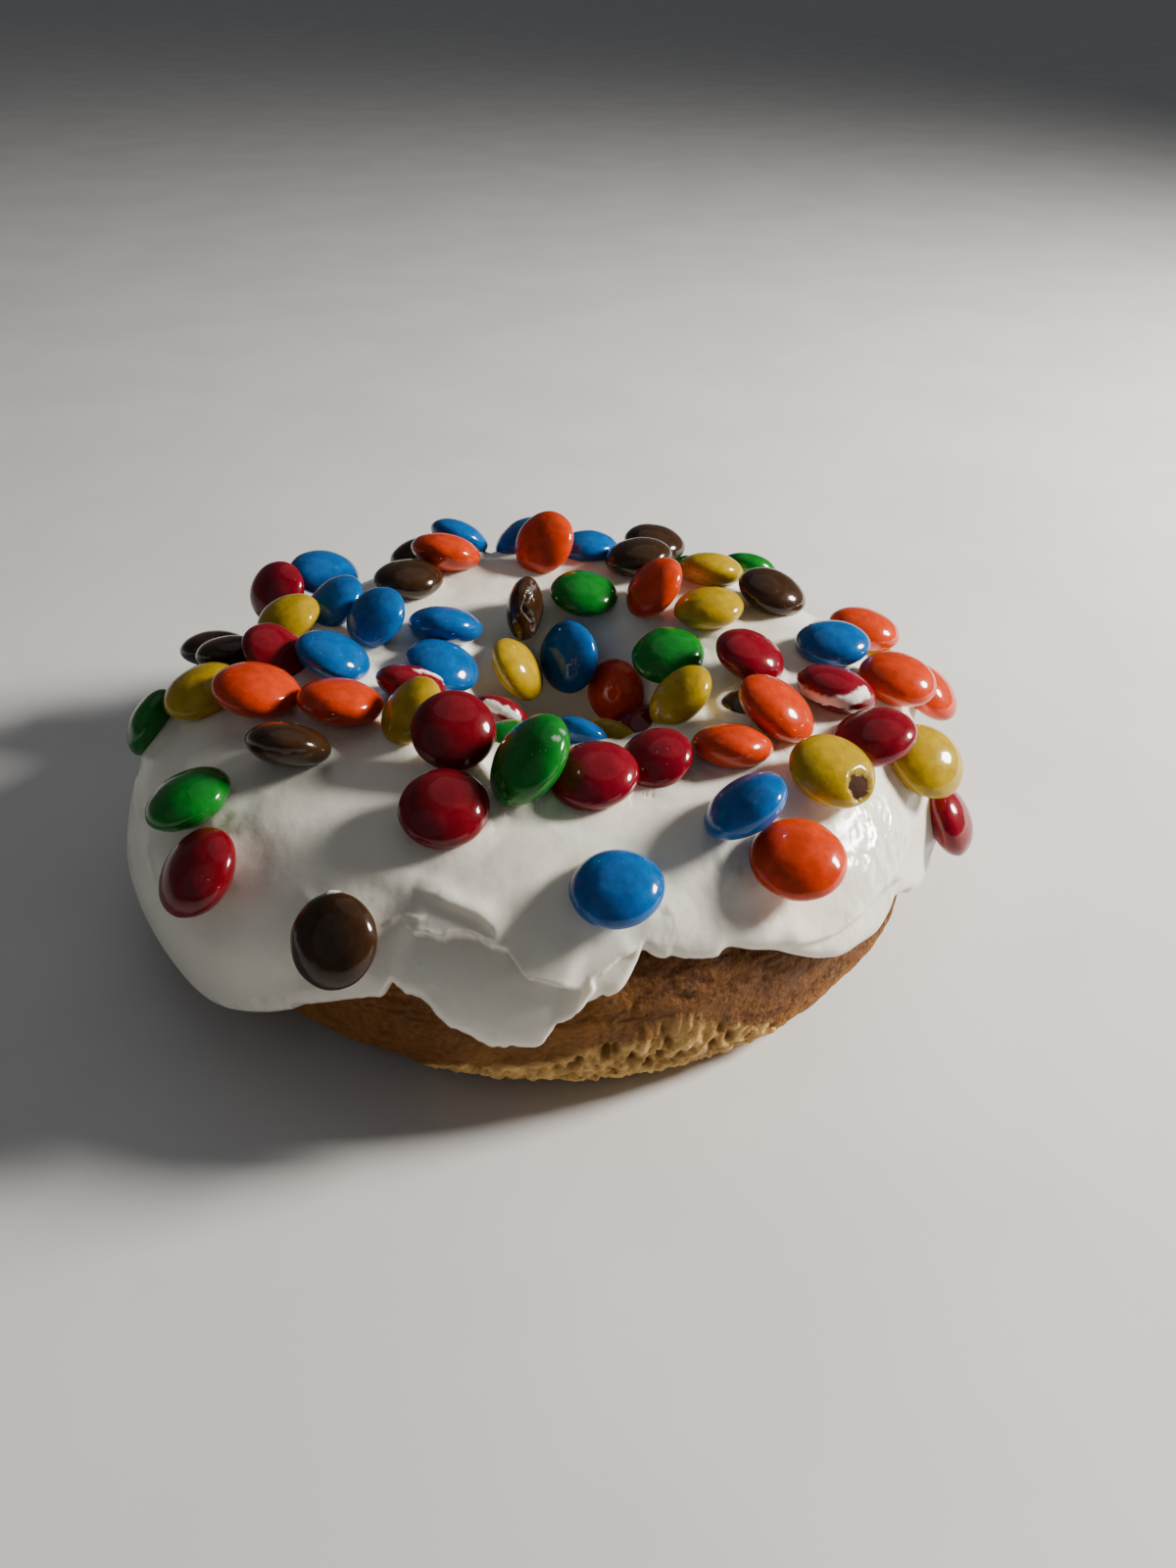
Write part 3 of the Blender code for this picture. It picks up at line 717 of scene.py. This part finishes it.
def make_dough():
    nu, nv = ((660, 148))
    deg = front_columns(nu)[:, None]
    # most rows on the bare wall below the icing
    v = np.linspace(-180.0, 180.0, 1441)
    w = 1.0 + 3.0 * step(v, -85.0, -60.0) * (1.0 - step(v, 25.0, 40.0)) + 0.8 * (step(np.abs(v), 150.0, 165.0))
    w = np.concatenate([[0.0], np.cumsum(0.5 * (w[1:] + w[:-1]))])
    v = np.interp(np.arange(nv) / nv, w / w[-1], v)
    across = v[None, :]
    less = {"side": ICING_SIDE + GAP + 0.05, "top": ICING_TOP + GAP + 0.05}
    p = skin(deg, across, **less)
    eps = 0.4
    du = skin(deg + eps, across, **less) - skin(deg - eps, across, **less)
    dv = skin(deg, across + eps, **less) - skin(deg, across - eps, **less)
    n = unit(np.cross(du, dv))
    n[..., 2] = np.where(p[..., 2] < 0.2, -1.0, n[..., 2])
    n = unit(n)
    wall = (np.mod(across + 90.0, 360.0) < 180.0) * np.ones_like(p[..., 0])
    z = p[..., 2]
    # free wall under the icing's edge
    low = 1.0 - step(z, 1.0, 5.0)
    t = np.radians(deg)
    q = np.stack([14.0 * np.cos(t) + 0 * across, 14.0 * np.sin(t) + 0 * across, z * 1.15], -1)
    wrinkle = fbm(p, 6.5, 4, 11, 0.55)
    folds = np.abs(fbm(q, 2.3, 4, 23, 0.6))
    fine_ = fbm(q, 0.9, 3, 33)
    h = 0.42 * wrinkle - 0.34 * np.exp(-folds * 8.0) + 0.09 * fine_
    h = h * step(z, 0.25, 1.6)
    # torn, porous crumb along the front of the base
    a = np.mod(deg, 360.0)
    edge = smooth(CRUMB_EDGE, a) + 1.3 * fbm(p, 4.5, 3, 41)
    torn = (1.0 - step(z, edge - 0.35, edge + 0.25)) * step(smooth(CRUMB_EDGE, a), 1.0, 4.0) * wall
    squash = np.array((1.0, 1.0, 0.62))
    d1, d2 = cells(p * squash, 1.55, 5)
    e1, e2 = cells(p * squash, 0.75, 9)
    open_ = 0.35 + 0.65 * step(fbm(p, 3.2, 2, 55), -0.25, 0.25)
    pit = np.exp(-(d1 / 0.40) ** 3) * open_ + 0.45 * np.exp(-(e1 / 0.42) ** 3)
    pores = -1.05 * pit + 0.16 * np.exp(-((d2 - d1) / 0.16) ** 2) + 0.28 * fbm(p, 1.1, 3, 51)
    h = h * (1.0 - torn) + torn * (pores + 0.10)
    h = h + 0.22 * np.exp(-((z - edge - 0.1) / 0.35) ** 2) * step(smooth(CRUMB_EDGE, a), 1.0, 4.0) * wall
    h = h * step(z, 0.02, 0.3)
    # pit mask, also used by the material for the painted shade in the pores
    pit = np.clip(pit * 1.25, 0.0, 1.0) * torn
    p = p + n * h[..., None]
    p[..., 2] = np.maximum(p[..., 2], 0.0)
    toast = np.clip(0.42 + 0.9 * fbm(p, 13.0, 4, 61), 0.0, 1.0) * step(z, 2.5, 9.0)
    toast = np.clip(toast + 0.75 * step(a, 276.0, 292.0) * (1.0 - step(a, 345.0, 360.0)) * step(z, 3.6, 7.0), 0.0, 1.0)
    # browner along the grooves of the wrinkles
    toast = np.clip(toast * 0.75 + 0.25 * step(folds * -1.0, -0.14, -0.02), 0.0, 1.0)
    me = grid_mesh("dough", p, attrs={"torn": torn, "low": low, "toast": toast, "pit": pit})
    outward(me)
    return add_piece("dough_ring", me, dough_material(), ("dough",))


# --------------------------------------------------------------------- icing
def relief(deg, across):
    """Height of the icing's folds over its smooth skin, mm, and a band of painted shade at the foot of each torn step.
    """
    flat = skin(deg, across, lobes=1.0).reshape(-1, 3)
    n, u, _ = skin_frame(deg, across)
    nn = n.reshape(-1, 3)
    shape = 0.34 * fbm(flat, 15.0, 2, 71) + 0.045 * fbm(flat, 4.0, 2, 81)
    step_foot_shade = np.zeros(len(flat))

    def along_line(line, reach):
        pts_ = skin(np.array([q[0] for q in line]), np.array([q[1] for q in line]), lobes=1.0)
        low, high = pts_.min(0) - reach, pts_.max(0) + reach
        near = np.nonzero(((flat > low) & (flat < high)).all(1))[0]
        dist, f, spot, tang = line_distance(flat[near], pts_)
        side = ((flat[near] - spot) * np.cross(nn[near], tang)).sum(1)
        sd = np.sign(side) * dist
        # how far past either end, measured straight so that it has no jumps
        arc = np.concatenate([[0.0], np.cumsum(np.linalg.norm(np.diff(pts_, axis=0), axis=1))])
        at = [np.array([np.interp(x * arc[-1], arc, pts_[:, i]) for i in range(3)]) for x in (0.3, 0.7)]
        s0 = (flat[near] - pts_[0]) @ unit(at[0] - pts_[0]) / arc[-1]
        s1 = (pts_[-1] - flat[near]) @ unit(pts_[-1] - at[1]) / arc[-1]
        return near, dist, sd, s0, s1, np.exp(-np.maximum(dist - reach * 0.7, 0.0))

    def ridge(line, high, wide, steep=1.0, ends=(0.2, 0.2)):
        near, dist, sd, s0, s1, end = along_line(line, 6.0 * wide + 1.0)
        end = end * step(s0, 0.0, ends[0]) * step(s1, 0.0, ends[1])
        rag = 0.10 * wide * noise(flat[near], 1.6, 7)
        w = np.where(sd > 0.0, wide, wide * steep)
        shape[near] += high * np.exp(-((dist + rag) / w) ** 2) * end

    def layer(line, up_, down_, soft, fade, ends, rag=0.0, rim=0.0):
        near, dist, sd, s0, s1, _ = along_line(line, 3.2 * fade)
        end = step(s1, 0.0, ends[1])
        if ends[0]:
            end = end * step(s0, 0.0, ends[0])
        if rag:
            sd = sd + rag * noise(flat[near], 1.3, 21) + 0.45 * rag * noise(flat[near], 0.45, 22)
        on = step(sd, -soft, soft)
        fall = np.exp(-(dist / fade) ** 1.5)
        shape[near] += (on * up_ - (1.0 - on) * down_) * fall * end
        shape[near] += rim * np.exp(-((sd - 1.6 * soft) / (2.2 * soft)) ** 2) * end
        # painted shade: a narrow band on the low side at the foot of the torn step
        step_foot_shade[near] = np.maximum(step_foot_shade[near], np.exp(-(dist / 0.5) ** 2) * end * (1.0 - on))

    ridge(CREST, 0.62, 1.30, 0.45, (0.45, 0.10))
    ridge(THIN_RIDGE, 0.26, 0.28, 1.0, (0.3, 0.2))
    ridge(VALLEY, -0.45, 1.9, 1.0, (0.45, 0.35))
    for c_ in CREASES:
        ridge(c_, 0.20, 0.40, 1.6)
    layer(TORN, 0.48, 0.90, 0.13, 4.2, (0.12, 0.10), 0.20, 0.10)
    layer(LIP, 0.26, 0.50, 0.13, 2.6, (0.0, 0.12), 0.16, 0.10)
    layer(LOBE_LINE, 0.42, 0.36, 0.36, 2.2, (0.10, 0.06))
    return shape.reshape(np.shape(deg + across)), step_foot_shade.reshape(np.shape(deg + across))


def make_icing(placed):
    nu = 604
    nm = 138
    ne, nb = ((11, 5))
    deg = front_columns(nu, 3.6)
    ragged = 0.2 + 0.8 * step(deg, 246.0, 250.0) * (1.0 - 0.5 * step(deg, 283.0, 287.0)) \
        * (1.0 - step(deg, 297.0, 303.0))
    jag = 0.34 * noise(np.stack([deg * 0.8, deg * 0, deg * 0], -1), 2.2, 3) * ragged \
        + 0.16 * noise(np.stack([deg * 0.8, deg * 0, deg * 0], -1), 0.7, 4) * ragged ** 2
    e_out = smooth(EDGE_OUT, deg) + jag
    e_in = smooth(EDGE_IN, deg) + jag
    a_out = across_at(e_out, deg, False)
    a_in = across_at(e_in, deg, True)
    # arc length along each column of the icing's skin
    fine = 400
    fr = np.linspace(0.0, 1.0, fine)
    aa = a_out[:, None] + (a_in - a_out)[:, None] * fr[None, :]
    line = skin(deg[:, None], aa, lobes=1.0)
    arc = np.concatenate([np.zeros((nu, 1)), np.cumsum(np.linalg.norm(np.diff(line, axis=1), axis=2), 1)], 1)
    length = arc[:, -1]
    re = 1.35                                  # radius of the rounded edge, mm

    psi = np.radians(np.linspace(-90.0, 90.0, ne))
    edge_s = re * (1.0 - np.cos(psi))
    edge_h = 0.5 + 0.5 * np.sin(psi)
    # rows are closest together where the layers have torn
    mid = np.linspace(0.0, 1.0, nm + 2)[1:-1]
    dense = np.interp(mid, (0.0, 0.60, 0.70, 1.0), (0.0, 0.355, 0.46, 1.0))
    flap = (step(deg, 240.0, 251.0) * (1.0 - step(deg, 286.0, 297.0)))[:, None]
    mid = mid[None, :] + (dense - mid)[None, :] * flap
    s_out = np.broadcast_to(edge_s, (nu, ne))
    s_mid = re + (length[:, None] - 2.0 * re) * mid
    s_in = length[:, None] - np.broadcast_to(edge_s[::-1], (nu, ne))
    s = np.concatenate([s_out, s_mid, s_in], 1)
    h = np.concatenate([np.broadcast_to(edge_h, (nu, ne)), np.ones((nu, nm)),
                        np.broadcast_to(edge_h[::-1], (nu, ne))], 1)
    a = np.empty_like(s)
    for i in range(nu):
        a[i] = np.interp(s[i], arc[i], aa[i])
    d = deg[:, None]
    outer = skin(d, a, lobes=1.0)
    inner = skin(d, a, side=ICING_SIDE + GAP, top=ICING_TOP + GAP)
    p = inner + (outer - inner) * h[..., None]
    n, du, up = skin_frame(d + 0.0 * a, a)
    full = h > 0.999

    # bead just behind the outer edge, and the gentle unevenness of poured icing
    from_edge = np.minimum(s, 99.0)
    bead = 0.30 * np.exp(-((from_edge - 1.9) / 1.5) ** 2) * (1.0 - flap)
    bumps, step_foot_shade = relief(d + 0.0 * a, a)
    p = p + n * (bead * h ** 2 + bumps * h ** 1.5)[..., None]

    # icing climbs a little way up each lentil
    rise, dye = np.zeros(p.shape[:2]), np.zeros(p.shape[:2])
    mound = np.zeros(p.shape[:2])
    for centre, axis, hd, ht, row in placed:
        near = np.linalg.norm(p - centre, axis=-1) < 9.0
        if not near.any():
            continue
        if row[6] > 0.25:
            n0 = skin_frame(np.float64(row[1]), np.float64(row[2]))[0]
            v = p[near] - centre
            q = np.linalg.norm(v - (v @ n0)[:, None] * n0, axis=1)
            mound[near] = np.maximum(mound[near], (row[6] - 0.1) * np.exp(-(q / 3.4) ** 4))
    p = p + n * (mound * full)[..., None]
    for centre, axis, hd, ht, row in placed:
        near = np.linalg.norm(p - centre, axis=-1) < 9.0
        if not near.any():
            continue
        loc = (p[near] - centre) @ axes_of(axis) / np.array((hd, hd, ht))
        f = np.linalg.norm(loc, axis=1)
        g = np.linalg.norm(loc / np.array((hd, hd, ht)), axis=1) / np.maximum(f, 1e-6)
        dist = (f - 1.0) / np.maximum(g, 1e-6)
        r = 0.42 * np.exp(-(np.maximum(dist, 0.0) / 0.55) ** 1.3)
        r -= 0.10 * np.exp(-((dist - 2.0) / 0.9) ** 2)
        r = np.where(dist < 0.0, 0.42 + 0.2 * np.maximum(dist, -2.0), r)
        rise[near] = np.where(np.abs(r) > np.abs(rise[near]), r, rise[near])
        if row[0] in ("red", "maroon"):
            dye[near] = np.maximum(dye[near], 0.30 * np.exp(-(np.maximum(dist, 0.0) / 0.55) ** 2))
    p = p + n * (rise * full)[..., None]

    # underside, just inside the dough
    back_f = np.linspace(1.0, 0.0, nb + 2)[1:-1]
    ab = a_out[:, None] + (a_in - a_out)[:, None] * (0.02 + 0.96 * back_f[None, :])
    back = skin(d, ab, side=ICING_SIDE + GAP + 0.5, top=ICING_TOP + GAP + 0.5)
    pts = np.concatenate([p, back], 1)
    zero = np.zeros((nu, nb))
    wet = 0.35 * np.clip(0.4 + 1.3 * fbm(p, 14.0, 3, 91), 0.0, 1.0) + 0.25 * (1.0 - step(from_edge, 1.0, 5.0))
    for at, size in WET:
        blot = 1.0 + 0.35 * fbm(p, 5.0, 2, 97)
        wet = np.maximum(wet, np.exp(-(np.linalg.norm(p - np.array(at), axis=-1) / (size * blot)) ** 2))
    wet = np.concatenate([np.clip(wet, 0.0, 1.0), zero], 1)
    # darker warm tint: thin icing at the outer edge, and painted shade at the foot of the torn steps
    thin_edge_and_step_shade = np.concatenate([np.maximum(0.8 * step_foot_shade.reshape(s.shape), 0.5 * (1.0 - step(from_edge, 0.2, 1.3))), zero], 1)
    me = grid_mesh("icing", pts, attrs={"wet": wet, "thin_edge_and_step_shade": thin_edge_and_step_shade,
                                        "dye": np.concatenate([dye, zero], 1)})
    outward(me)
    return add_piece("icing_coat", me, icing_material(), ("icing",))


# --------------------------------------------------------------------- stage
def make_stage():
    me = bpy.data.meshes.new("floor")
    bm = bmesh.new()
    bmesh.ops.create_grid(bm, x_segments=1, y_segments=1, size=2.5)
    bm.to_mesh(me)
    bm.free()
    floor = bpy.data.objects.new("floor", me)
    bpy.context.scene.collection.objects.link(floor)
    f = Nodes("floor_pale")
    f.put(f.b, "Base Color", f.ramp(f.noise(30.0, 3.0), (0.4, 0.70), (0.6, 0.74)))
    f.set(Roughness=0.75)
    me.materials.append(f.mat)

    world = bpy.data.worlds.new("studio")
    world.use_nodes = True
    bg = world.node_tree.nodes["Background"]
    bg.inputs["Color"].default_value = (0.86, 0.88, 0.92, 1.0)
    bg.inputs["Strength"].default_value = 0.095
    bpy.context.scene.world = world

    def area(name, at, size, power, rgb, towards=(0.0, 0.0, 0.012)):
        li = bpy.data.lights.new(name, 'AREA')
        li.shape = 'ELLIPSE'
        li.size, li.size_y = size
        li.energy = power
        li.color = rgb
        ob = bpy.data.objects.new(name, li)
        ob.location = at
        v = Vector(towards) - Vector(at)
        ob.rotation_euler = v.to_track_quat('-Z', 'Y').to_euler()
        bpy.context.scene.collection.objects.link(ob)

    area("key", (0.42, 0.07, 0.235), (0.12, 0.12), 6.2, (1.0, 0.94, 0.85))
    area("fill", (-0.30, -0.38, 0.40), (0.80, 0.70), 0.12, (0.95, 0.96, 1.0))
    area("top", (0.05, 0.22, 0.55), (0.70, 0.70), 0.26, (1.0, 0.99, 0.97))

    cam = bpy.data.cameras.new("camera")
    cam.sensor_fit = 'AUTO'
    cam.sensor_width = 36.0
    cam.lens = 27.04
    cam.clip_start = 0.005
    cam.clip_end = 20.0
    ob = bpy.data.objects.new("camera", cam)
    pitch, roll = math.radians(36.0), math.radians(0.5)
    fwd = Vector((0.0, math.cos(pitch), -math.sin(pitch)))
    right = Vector((1.0, 0.0, 0.0))
    upv = right.cross(fwd)
    r = right * math.cos(roll) + upv * math.sin(roll)
    u = upv * math.cos(roll) - right * math.sin(roll)
    m = Matrix((r, u, -fwd)).transposed().to_4x4()
    m.translation = Vector((3.4 * MM, -120.6 * MM, 98.2 * MM))
    ob.matrix_world = m
    bpy.context.scene.collection.objects.link(ob)
    bpy.context.scene.camera = ob


make_stage()
placed = make_lentils()
make_dough()
make_icing(placed)

bpy.context.view_layer.update()
